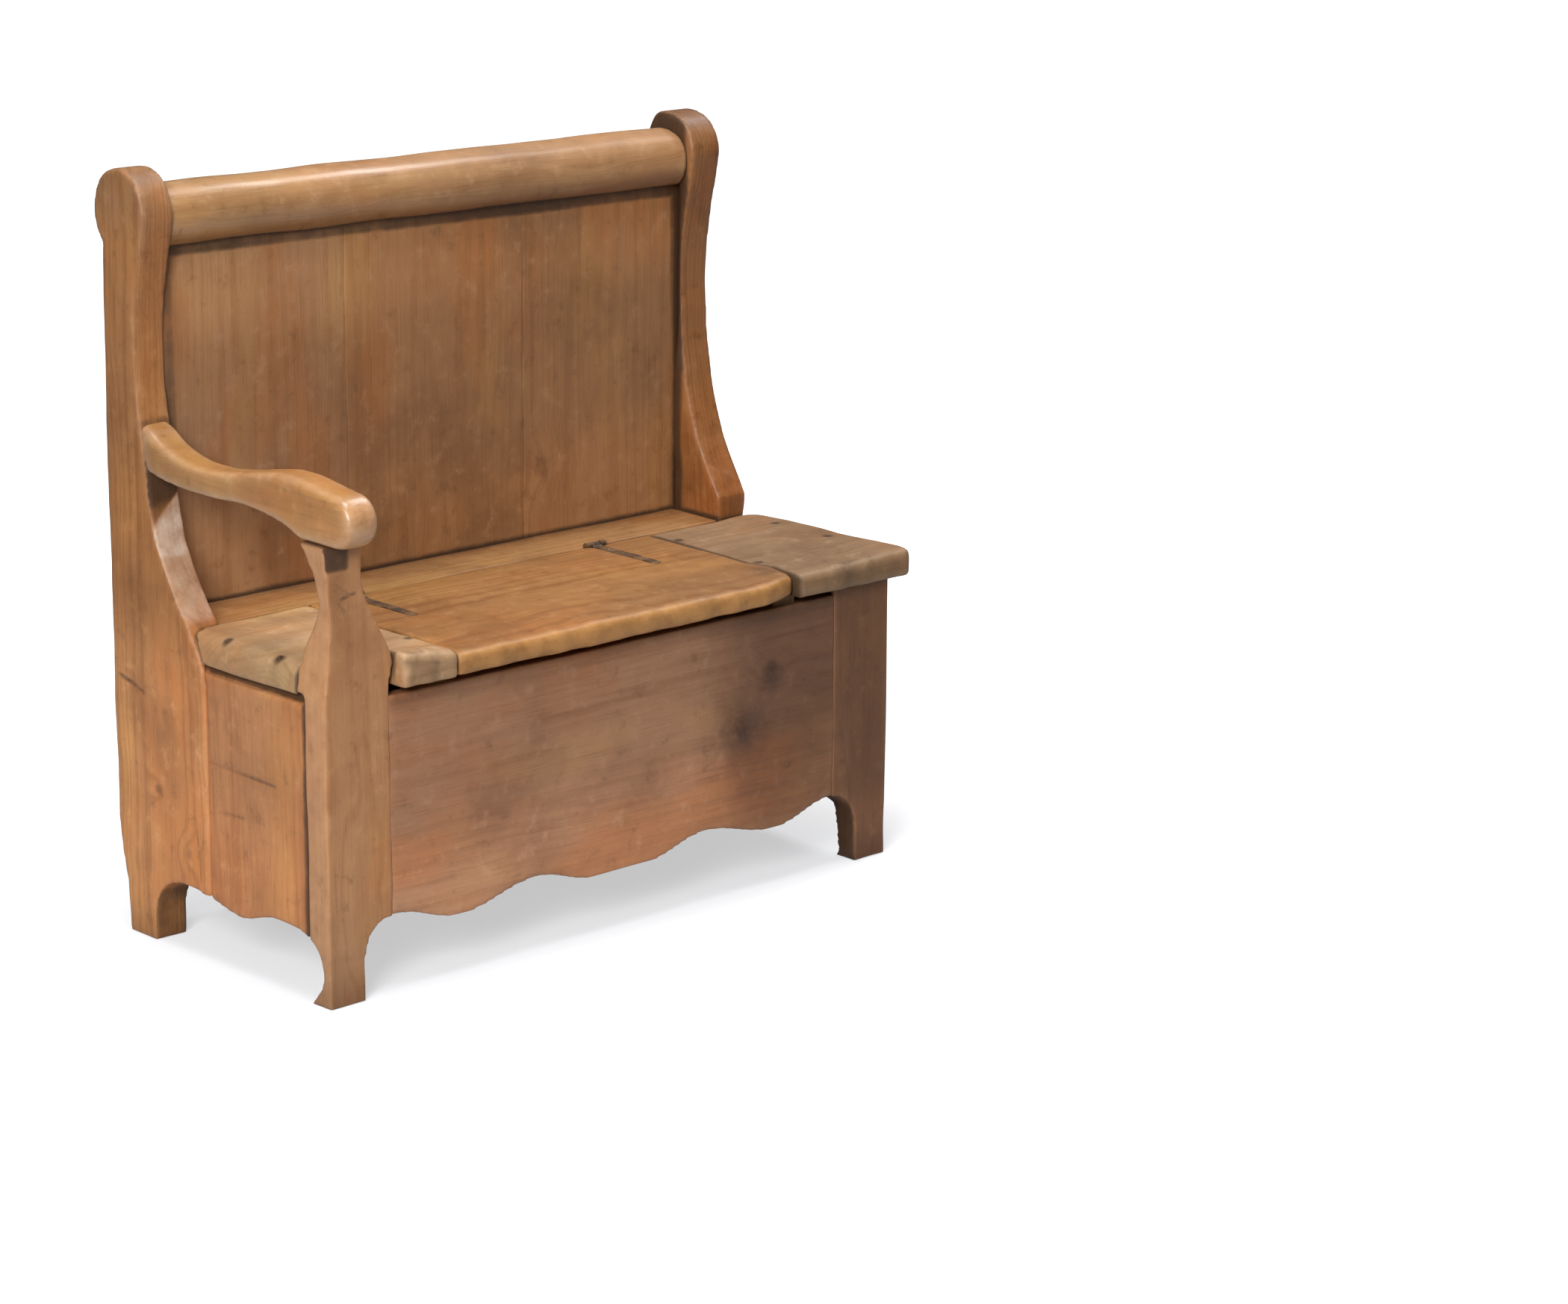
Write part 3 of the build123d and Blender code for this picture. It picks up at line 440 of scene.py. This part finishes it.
post_planks = {
    "left": dict(
        heart_right=52, reshape=None, neighbours=("arm", "seat_left_board"),
        shades=[("Z", 0.25, 0.03, 1.0, (0.95, 1.03, 1.16, 1))],
        scratches=[((16, 0, 562), (40, 0, 548), 0.006, 0.62), ((30, 0, 540), (52, 0, 545), 0.007, 0.7),
                   ((26, 0, 534), (34, 0, 524), 0.006, 0.62)],
    ),
    "right": dict(
        heart_right=948, reshape=straight_foot, neighbours=("seat_right_board",),
        shades=[("X", 0.2, 0.3, 0.95, (0.43, 0.39, 0.39, 1)), ("Z", 0.13, 0.05, 1.0, (1.35, 1.32, 1.3, 1))],
        scratches=[],
    ),
}
for side, plank in post_planks.items():
    heart = spot(plank["heart_right"], 120, 0)
    post_pine = pine(side + "_post_pine", "Z", "Y", (heart.x, heart.y),
                     (0.415, 0.2, 0.085, 1), (0.27, 0.108, 0.038, 1), lines=0.3, shades=plank["shades"])
    post = worn_board(side + "_front_post", 0.0035, 5, plank["neighbours"], ("front_board",), rub=0.3,
                      reshape=plank["reshape"], polish_and_light=post_side_light, shade_and_darkening=post_painted_shade,
                      scratches=plank["scratches"])
    fix(post, side + "_front_post", post_pine)


# End panels: one pine board each between post and upright, let into the post's rebate.
# Dry winters have shrunk them, so a dark line shows along the post.
def inset_from_end(points):
    """Millimetres inwards from the outer face of the nearer end."""
    right = right_of_end(points)
    return np.minimum(right, 1000 - right)


def shrunk_panel(points):
    """The panel has drawn back from the post and from the seat by a few millimetres."""
    back = back_of_posts(points)
    points[:, 1] += 0.0035 * np.clip((62 - back) / 14, 0, 1)
    points[:, 2] -= 0.007 * (1 - ease_in(inset_from_end(points), 9, 12.5)) * ease_in(points[:, 2], 0.36, 0.4)
    return points


def rebate_painted_shade(points, normals):
    """The gap between panel and seat is painted dark: painted shade."""
    return ease_in(inset_from_end(points), 7, 11) * ease_in(points[:, 2], 0.394, 0.402)


panel_scratches = {
    "left": [((3, 266, 277), (3, 112, 275), 0.007, 0.7), ((3, 236, 213), (3, 184, 216), 0.01, 0.62)],
    "right": [],
}
for side, heart_right in (("left", 60), ("right", 940)):
    heart = spot(heart_right, 150, 0)
    panel_pine = pine(side + "_panel_pine", "Z", "X", (heart.x, heart.y),
                      (0.437, 0.195, 0.078, 1), (0.27, 0.094, 0.031, 1), lines=0.25,
                      shades=[("Z", 0.3, 0.1, 1.0, (1.22, 1.15, 1.07, 1))])
    # Close under the seat board the darkening is painted shade.
    neighbours = (side + "_front_post", "seat_" + side + "_board")
    panel = worn_board(side + "_end_panel", 0.0035, 3, neighbours, rub=0.4, reshape=shrunk_panel,
                       shade_and_darkening=rebate_painted_shade, scratches=panel_scratches[side])
    fix(panel, side + "_end_panel", panel_pine)


# Front board: one wide pine board, tongued into the posts, with its skirt sawn in waves.
# Its right end is darker, and two branches left knots there.
def tight_board(points):
    """A board that has stayed tight: it runs on a little past its joints, so no groove shows."""
    low, high = points[:, 0].min(), points[:, 0].max()
    points[:, 0] += 0.0035 * ease_in(points[:, 0], high - 0.03, high - 0.014)
    points[:, 0] -= 0.0035 * ease_in(-points[:, 0], -low - 0.03, -low - 0.014)
    return points


def level_front(points):
    """The front board lies nearly level with the posts."""
    points[:, 1] -= 0.0011
    return tight_board(points)


heart = spot(0, -60, 250)
front_board_pine = pine(
    "front_board_pine", "X", "Y", (heart.z, heart.y), (0.346, 0.173, 0.09, 1), (0.216, 0.092, 0.04, 1),
    ring=0.011, lines=0.22,
    knots=[(775, 2, 318, 0.012, 0.7), (717, 2, 240, 0.014, 0.7)],
    stains=[(774, 2, 300, 0.03, 0.5), (722, 2, 240, 0.06, 0.6), (850, 2, 190, 0.07, 0.15)],
    # The last shade darkens the top of the board: the painted shadow of the seat's overhang.
    shades=[("X", 0.1, 0.27, 0.85, (0.4, 0.35, 0.32, 1)), ("Z", 0.27, 0.12, 1.0, (1.44, 1.43, 1.44, 1)),
            ("Z", 0.365, 0.395, 1.0, (0.74, 0.72, 0.7, 1))],
)
# Close under the seat boards the darkening is the painted shadow of the overhang, and next to the right post
# it is painted shade.
front_neighbours = ("seat_left_board", "seat_lid", "seat_right_board")
front_board = worn_board("front_board", 0.004, 3, front_neighbours, ("right_front_post",), rub=0.3,
                         reshape=level_front)
fix(front_board, "front_board", front_board_pine)


# Back boards: three upright pine boards, tongued together and grooved into the uprights.
# They have stayed tight, so each joint shows only as a fine line.
def back_painted_shade(points, normals):
    """Painted shade darkens the boards beside the uprights, and a painted shadow lies under the roll."""
    right = right_of_end(points)
    left_edge, right_edge = 1 - ease_in(right, 60, 80), ease_in(right, 934, 944)
    beside = 0.72 * (left_edge + right_edge * ease_in(points[:, 2], 0.6, 0.8))
    edge = np.interp(right, (50, 950), (0.925, 0.914))
    under_roll = 0.85 * ease_in(points[:, 2] - edge, -0.012, 0.0)
    return np.maximum(beside, under_roll)


back_tones = {
    "back_board_left": ((0.272, 0.139, 0.067, 1), 190, []),
    "back_board_middle": ((0.272, 0.132, 0.057, 1), 520, []),
    "back_board_right": ((0.276, 0.132, 0.056, 1), 800, [(696, 396, 548, 0.016, 0.5)]),
}
# Paler at the foot of the boards: painted light thrown up from the seat.
seat_bounce_light = ("Z", 0.64, 0.5, 1.0, (1.27, 1.25, 1.21, 1))
paler_top = ("Z", 0.76, 0.87, 1.0, (1.31, 1.31, 1.27, 1))
back_neighbours = ("left_upright", "right_upright", "crest_roll", "seat_back_strip")
for node, (pale, heart_right, knots) in back_tones.items():
    heart = spot(heart_right, 470, 0)
    back_pine = pine(node + "_pine", "Z", "Y", (heart.x, heart.y), pale, (0.18, 0.076, 0.028, 1),
                     ring=0.011, lines=0.25, knots=knots, rough=0.5, shades=[seat_bounce_light, paler_top])
    back_board = worn_board(node, 0.0032, 1, back_neighbours, sway=0.0003, rub=0.0, reshape=tight_board,
                            shade_and_darkening=back_painted_shade)
    fix(back_board, node, back_pine)

# Crest roll: a rail planed round between the two heads, with a groove below for the boards.
# It is rubbed bright by hands and holds the most wax.
heart = spot(0, 417, 940)
# Its underside is painted darker: painted shade, and some soil.
roll_pine = pine("roll_pine", "X", "Y", (heart.z, heart.y), (0.332, 0.178, 0.078, 1), (0.217, 0.094, 0.033, 1),
                 ring=0.009, lines=0.25, shades=[("Z", 0.962, 0.932, 0.9, (0.52, 0.41, 0.31, 1))],
                 rough=0.36, wax=0.5, dull_from=(-0.25, 0.2))


def fuller_roll(points):
    """The roll is planed fuller at the front than at the back, and its right end sits lower."""
    along = (right_of_end(points) - 50) / 900
    middle = spot(0, 417, 978)
    swell = 1.11
    sink = np.interp(along, (0, 1), (0.0065, 0.0145))
    bulge = np.interp(along, (0, 1), (0.004, 0.012))
    points[:, 2] = middle.z + (points[:, 2] - middle.z) * swell - sink
    points[:, 1] -= ease_in(middle.y - points[:, 1], 0, 0.03) * bulge
    return points


roll_neighbours = ("left_upright", "right_upright", *back_tones)
crest_roll = worn_board("crest_roll", 0.004, 2, roll_neighbours, sway=0.0005, reshape=fuller_roll)
fix(crest_roll, "crest_roll", roll_pine)


# Rails, bearers and cleat inside the box: rough-sawn pine battens, never waxed.
# They are nailed where they cross and carry the floor and the seat.
def eased_board(node, ease):
    """A straight board with its node's form and its sharp arrises taken off."""
    board = bpy.data.objects.new("eased_" + node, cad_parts[node].data.copy())
    bpy.context.scene.collection.objects.link(board)
    shell = bmesh.new()
    shell.from_mesh(board.data)
    bmesh.ops.remove_doubles(shell, verts=shell.verts, dist=2e-6)
    bmesh.ops.dissolve_limit(shell, angle_limit=radians(2), verts=shell.verts, edges=shell.edges)
    shell.to_mesh(board.data)
    shell.free()
    plane = board.modifiers.new("plane", "BEVEL")
    plane.width, plane.segments, plane.limit_method = ease, 3, "ANGLE"
    seen = board.evaluated_get(bpy.context.evaluated_depsgraph_get())
    board.data = bpy.data.meshes.new_from_object(seen)
    board.modifiers.clear()
    board.data.shade_smooth()
    board.data.set_sharp_from_angle(angle=radians(40))
    return board


heart = spot(0, 500, 60)
sawn_pine = pine("sawn_pine", "X", "Y", (heart.z, heart.y), (0.4, 0.255, 0.145, 1), (0.27, 0.15, 0.075, 1),
                 ring=0.005, rough=0.68)
for node in ("rear_rail", "back_cleat", "front_floor_bearer", "rear_floor_bearer"):
    fix(eased_board(node, 0.0012), node, sawn_pine)
heart = spot(300, 0, 480)
bearer_pine = pine("bearer_pine", "Y", "X", (heart.x, heart.z), (0.42, 0.26, 0.145, 1), (0.28, 0.15, 0.075, 1),
                   ring=0.005, rough=0.68)
for node in ("left_seat_bearer", "right_seat_bearer"):
    fix(eased_board(node, 0.0012), node, bearer_pine)

# Floor of the box: three sawn boards laid end to end of the box on the floor bearers.
# They are dusty and unwaxed.
heart = spot(0, 200, 60)
floor_pine = pine("floor_pine", "X", "Z", (heart.z, heart.y), (0.42, 0.28, 0.165, 1), (0.29, 0.165, 0.085, 1),
                  ring=0.006, rough=0.7)
for node in ("floor_board_front", "floor_board_middle", "floor_board_rear"):
    fix(eased_board(node, 0.0015), node, floor_pine)

# Arm: a thick plank sawn to a long S with a rolled nose, tenoned into the upright at the back.
# Its top is rubbed round and pale by hands.
heart = spot(25, 0, 560)
# The arm's rear end is painted darker: painted shade.
arm_pine = pine("arm_pine", "Y", "X", (heart.x, heart.z), (0.396, 0.194, 0.062, 1), (0.28, 0.119, 0.034, 1),
                ring=0.009, lines=0.25, shades=[("Y", 0.0, 0.13, 1.0, (0.76, 0.73, 0.68, 1))],
                rough=0.38, wax=0.5, gloss=0.3, bare_and_sheen=(0.66, 0.5, 0.36, 1))


def nose_polish(points, normals):
    """Palms have worn the nose of the arm down to pale wood."""
    back = back_of_posts(points)
    return 0.42 * (1 - ease_in(back, -52, -12)) * ease_in(-normals[:, 1], -0.3, 0.5)


def scribed_end(points):
    """The rear end of the arm runs on into the upright, so that it meets the upright's edge closely."""
    back = back_of_posts(points)
    edge = np.interp(points[:, 2], (0.596, 0.615, 0.648, 0.7, 0.75, 0.8), (366, 372, 374, 381.5, 388.5, 393))
    run_on = 12
    pushed = np.clip((back - edge + run_on) / run_on, 0, 1)
    points[:, 1] += run_on / 1000 * pushed
    hidden = np.clip((back + run_on * pushed - edge) / 8, 0, 1)
    middle = spot(25, 0, 0).x
    points[:, 0] = middle + (points[:, 0] - middle) * (1 - 0.12 * hidden)
    return points


arm = worn_board("arm", 0.003, 26, (), ("left_upright", "left_front_post"), rub=0.6, reshape=scribed_end,
                 polish_and_light=nose_polish)
fix(arm, "arm", arm_pine)

# Fixed seat boards: the ends of the seat and the strip behind the lid, nailed to panels and
# bearers. Their front edges are worn round.
heart = spot(0, 140, 330)


def wander_joint(points):
    """The joint at the right end of the lid isn't straight: lid and seat board share its wander."""
    back = back_of_posts(points)
    shift = np.interp(back, (-24, -3, 41, 81, 140, 296), (-1, -2, 3, -9, -3, 0)) / 1000
    near = 1 - ease_in(np.abs(points[:, 0] - spot(811, 0, 0).x), 0.012, 0.09)
    points[:, 0] += shift * near
    return points


def wavy_front(points, low, lengths, reach):
    """Wear along a front edge: the nose sinks by low and its line wanders by reach."""
    back = back_of_posts(points)
    front = 1 - ease_in(back, -18, 55)
    top = ease_in(points[:, 2], 0.415, 0.446)
    wander = sum(np.sin(points[:, 0] * 6.283 / length + length * 40) for length in lengths) / len(lengths)
    points[:, 2] -= front * top * (low + reach * 0.7 * wander)
    points[:, 1] += front * reach * (0.4 + wander)
    return points


def left_board_wear(points):
    """The left board keeps its full thickness at the front and stands proud of the lid."""
    back = back_of_posts(points)
    rise = (1 - ease_in(back, -5, 60)) * ease_in(points[:, 2], 0.418, 0.446)
    points[:, 2] += rise * np.interp(right_of_end(points), (111, 150, 200), (0.01, 0.007, -0.001))
    end = (1 - ease_in(right_of_end(points), 8, 13)) * (1 - ease_in(points[:, 2], 0.414, 0.432))
    points[:, 2] -= 0.006 * end
    return wavy_front(points, 0.0, (0.047, 0.11, 0.031), 0.002)


def right_board_wear(points):
    """The right board's free end is chipped and wanders by some millimetres."""
    back = back_of_posts(points)
    shift = np.interp(back, (-24, 3, 50, 115, 165, 221, 296), (4, 12, 11, 3, 6, 6, -2)) / 1000
    points[:, 0] += shift * ease_in(points[:, 0], 0.42, 0.5)
    points[:, 2] += 0.003 * ease_in(points[:, 0], 0.4, 0.48) * ease_in(points[:, 2], 0.42, 0.446)
    return wander_joint(wavy_front(points, 0.001, (0.13, 0.07, 0.045), 0.0022))


seat_cracks = [((112, -22, 439), (168, -22, 435), 0.008, 0.62),
               ((126, -22, 424), (196, -22, 427), 0.007, 0.6),
               ((146, -20, 448), (158, 40, 448), 0.006, 0.6)]
front_stains = [(150, -24, 432, 0.045, 0.45), (905, -24, 425, 0.05, 0.5)]
# The seat's rear strip is painted darker towards the back: painted shade at the foot of the back boards.
painted_shade_at_back = ("Y", 0.13, 0.19, 1.0, (0.7, 0.66, 0.6, 1))
seat_boards = {
    "seat_left_board": dict(
        reshape=left_board_wear, soften=9, rub=0.5, shades=[], scratches=seat_cracks,
        pale=(0.41, 0.252, 0.13, 1), dark=(0.255, 0.134, 0.058, 1),
        neighbours=("left_front_post", "left_end_panel", "seat_board_nails"),
    ),
    "seat_right_board": dict(
        reshape=right_board_wear, soften=9, rub=0.5, shades=[], scratches=(),
        pale=(0.265, 0.157, 0.08, 1), dark=(0.17, 0.081, 0.034, 1),
        neighbours=("right_upright", "seat_lid", "seat_board_nails"),
    ),
    "seat_back_strip": dict(
        reshape=None, soften=3, rub=0.0, shades=[painted_shade_at_back], scratches=(),
        pale=(0.3, 0.15, 0.055, 1), dark=(0.19, 0.075, 0.021, 1),
        neighbours=(*back_tones, "right_upright"),
    ),
}
for node, board in seat_boards.items():
    seat_pine = pine(node + "_pine", "X", "Z", (heart.z, heart.y), board["pale"], board["dark"], ring=0.008,
                     lines=0.35, stains=front_stains, shades=board["shades"], rough=0.58, wax=0.0)
    seat_board = worn_board(node, 0.0035, board["soften"], board["neighbours"], ("left_upright", "seat_lid"),
                            rub=board["rub"], reshape=board["reshape"], scratches=board["scratches"])
    fix(seat_board, node, seat_pine)

# Lid: one wide pine board that swings on the iron straps. The front edge, where it is lifted,
# is worn low and wavy.
heart = spot(0, 90, 340)
lid_pine = pine("lid_pine", "X", "Z", (heart.z, heart.y), (0.295, 0.138, 0.044, 1), (0.186, 0.067, 0.016, 1),
                ring=0.009, lines=0.5,
                stains=[(300, -22, 420, 0.025, 0.3), (560, -22, 420, 0.025, 0.3),
                        (790, 30, 448, 0.03, 0.4), (275, 290, 448, 0.025, 0.4)],
                rough=0.56, wax=0.0, bare_and_sheen=(0.5, 0.25, 0.08, 1))


def lid_polish(points, normals):
    """The front edge is worn pale where the lid is lifted."""
    return 0.95 * ease_in(-normals[:, 1], 0.15, 0.6)


def lid_wear(points):
    """The lid's front edge is lowest where fingers lift it, and its right corner is worn away."""
    back = back_of_posts(points)
    corner = ease_in(points[:, 0], spot(740, 0, 0).x, spot(811, 0, 0).x) * (1 - ease_in(back, -24, 40))
    points[:, 1] += corner * 0.014
    points[:, 2] += corner * 0.004 * (1 - ease_in(points[:, 2], 0.415, 0.44))
    return wander_joint(wavy_front(points, 0.004, (0.31, 0.17, 0.083, 0.052), 0.003))


lid_joints = ("seat_left_board", "left_hinge_strap", "right_hinge_strap")
lid = worn_board("seat_lid", 0.0035, 8, ("seat_right_board",), lid_joints, rub=0.35, reshape=lid_wear,
                 polish_and_light=lid_polish)
fix(lid, "seat_lid", lid_pine, "lid")

# Lid battens: two sawn battens across the underside that keep the lid flat.
# Their lower edges are chamfered.
heart = spot(0, 90, 340)
batten_pine = pine("batten_pine", "Y", "Z", (heart.z, heart.x), (0.42, 0.26, 0.145, 1), (0.28, 0.15, 0.075, 1),
                   ring=0.005, rough=0.66)
for node in ("left_lid_batten", "right_lid_batten"):
    fix(eased_board(node, 0.001), node, batten_pine, "lid")

# Hinges and nails: forged iron, black with age, the straps let into the lid nearly flush.
# The nails are hand-made, and the seat nails are driven level with the wood.
iron = Finish("old_iron")
place = iron.step("TexCoord").outputs["Object"]
pits = iron.cloud(place, 160.0, 5.0, 0.65)[0]
rust = iron.cloud(place, 45.0, 4.0, 0.6)[0]
iron.feed(iron.surface.inputs["Base Color"],
          iron.tint(iron.fade(rust, 0.35, 0.65), (0.045, 0.022, 0.01, 1.0), (0.15, 0.074, 0.028, 1.0)))
iron.feed(iron.surface.inputs["Roughness"], iron.fade(pits, 0.3, 0.7, 0.5, 0.85))
iron.surface.inputs["Metallic"].default_value = 0.1
relief = iron.step("Bump", 0.6, 0.0006)
iron.feed(relief.inputs["Height"], pits)
iron.feed(iron.surface.inputs["Normal"], relief.outputs[0])


def hammered_strap(points):
    """Drawn out by hammer: the strap's edges wander."""
    points[:, 0] += 0.0013 * np.sin(points[:, 1] * 190) + 0.0009 * np.sin(points[:, 1] * 83 + 1)
    return points


for node in ("left_hinge_strap", "right_hinge_strap"):
    fix(worn_board(node, 0.0014, 2, sway=0.0004, reshape=hammered_strap), node, iron.material, "lid")
for node in ("left_hinge_leaf", "right_hinge_leaf", "left_hinge_pin",
             "right_hinge_pin", "seat_board_nails", "strap_nails", "leaf_nails"):
    for place_in_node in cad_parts[node].material_slots:
        place_in_node.material = iron.material

# Studio: a pale floor, soft light from the left and above, and the camera of the photograph.
floor = bpy.data.objects.new("studio_floor", bpy.data.meshes.new("studio_floor"))
sheet = bmesh.new()
bmesh.ops.create_grid(sheet, x_segments=1, y_segments=1, size=14)
sheet.to_mesh(floor.data)
sheet.free()
floor.location.z = -0.0005
bpy.context.scene.collection.objects.link(floor)
paper = Finish("pale_paper")
paper.surface.inputs["Base Color"].default_value = (0.45, 0.45, 0.46, 1)
paper.surface.inputs["Roughness"].default_value = 0.9
on_floor = paper.step("TexCoord").outputs["Object"]
reach = paper.step("VectorMath", on_floor, operation="LENGTH").outputs["Value"]
paper.surface.inputs["Emission Color"].default_value = (0.965, 0.98, 1, 1)
seen_by_camera = paper.step("LightPath").outputs["Is Camera Ray"]
glow = paper.sum(paper.fade(reach, 0.4, 1.8, 0.55, 1.03), seen_by_camera, how="MULTIPLY")
paper.feed(paper.surface.inputs["Emission Strength"], glow)
floor.data.materials.append(paper.material)

world = bpy.data.worlds.new("studio")
world.use_nodes = True
studio, backdrop = world.node_tree, world.node_tree.nodes["Background"]
height = studio.nodes.new("ShaderNodeSeparateXYZ")
studio.links.new(studio.nodes.new("ShaderNodeTexCoord").outputs["Generated"], height.inputs[0])
dome = studio.nodes.new("ShaderNodeMapRange")
dome.inputs["To Min"].default_value, dome.inputs["To Max"].default_value = 0.03, 0.34
studio.links.new(height.outputs["Z"], dome.inputs["Value"])
seen_white = studio.nodes.new("ShaderNodeMath")
seen_white.operation = "MAXIMUM"
studio.links.new(dome.outputs[0], seen_white.inputs[0])
studio.links.new(studio.nodes.new("ShaderNodeLightPath").outputs["Is Camera Ray"], seen_white.inputs[1])
studio.links.new(seen_white.outputs[0], backdrop.inputs["Strength"])
backdrop.inputs["Color"].default_value = (1, 1, 1, 1)
bpy.context.scene.world = world
for name, at, aim, size, power in (
    ("left_softbox", (-4.2, -2.9, 2.9), (0, 0, 0.5), 1.8, 264),
    ("top_softbox", (-0.5, -0.4, 3.6), (0, 0, 0.4), 1.5, 92),
    ("right_softbox", (2.7, 0.4, 3.9), (0, 0.2, 0.8), 1.3, 70),
):
    lamp = bpy.data.lights.new(name, "AREA")
    lamp.size, lamp.energy = size, power
    softbox = bpy.data.objects.new(name, lamp)
    softbox.location = at
    softbox.rotation_euler = (Vector(aim) - Vector(at)).to_track_quat("-Z", "Y").to_euler()
    bpy.context.scene.collection.objects.link(softbox)

lens = bpy.data.cameras.new("photo_camera")
lens.lens, lens.sensor_width, lens.sensor_fit = 98.39, 36, "HORIZONTAL"
camera = bpy.data.objects.new("photo_camera", lens)
right = Vector((0.72459, -0.68912, 0.00813))
up = Vector((0.17224, 0.19252, 0.96605))
away = Vector((-0.66730, -0.69860, 0.25820))
turn = Matrix((right, up, away)).transposed()
camera.matrix_world = Matrix.Translation((-3.682, -4.3655, 1.872)) @ turn.to_4x4()
bpy.context.scene.collection.objects.link(camera)
bpy.context.scene.camera = camera
bpy.context.scene.view_settings.view_transform = "Standard"
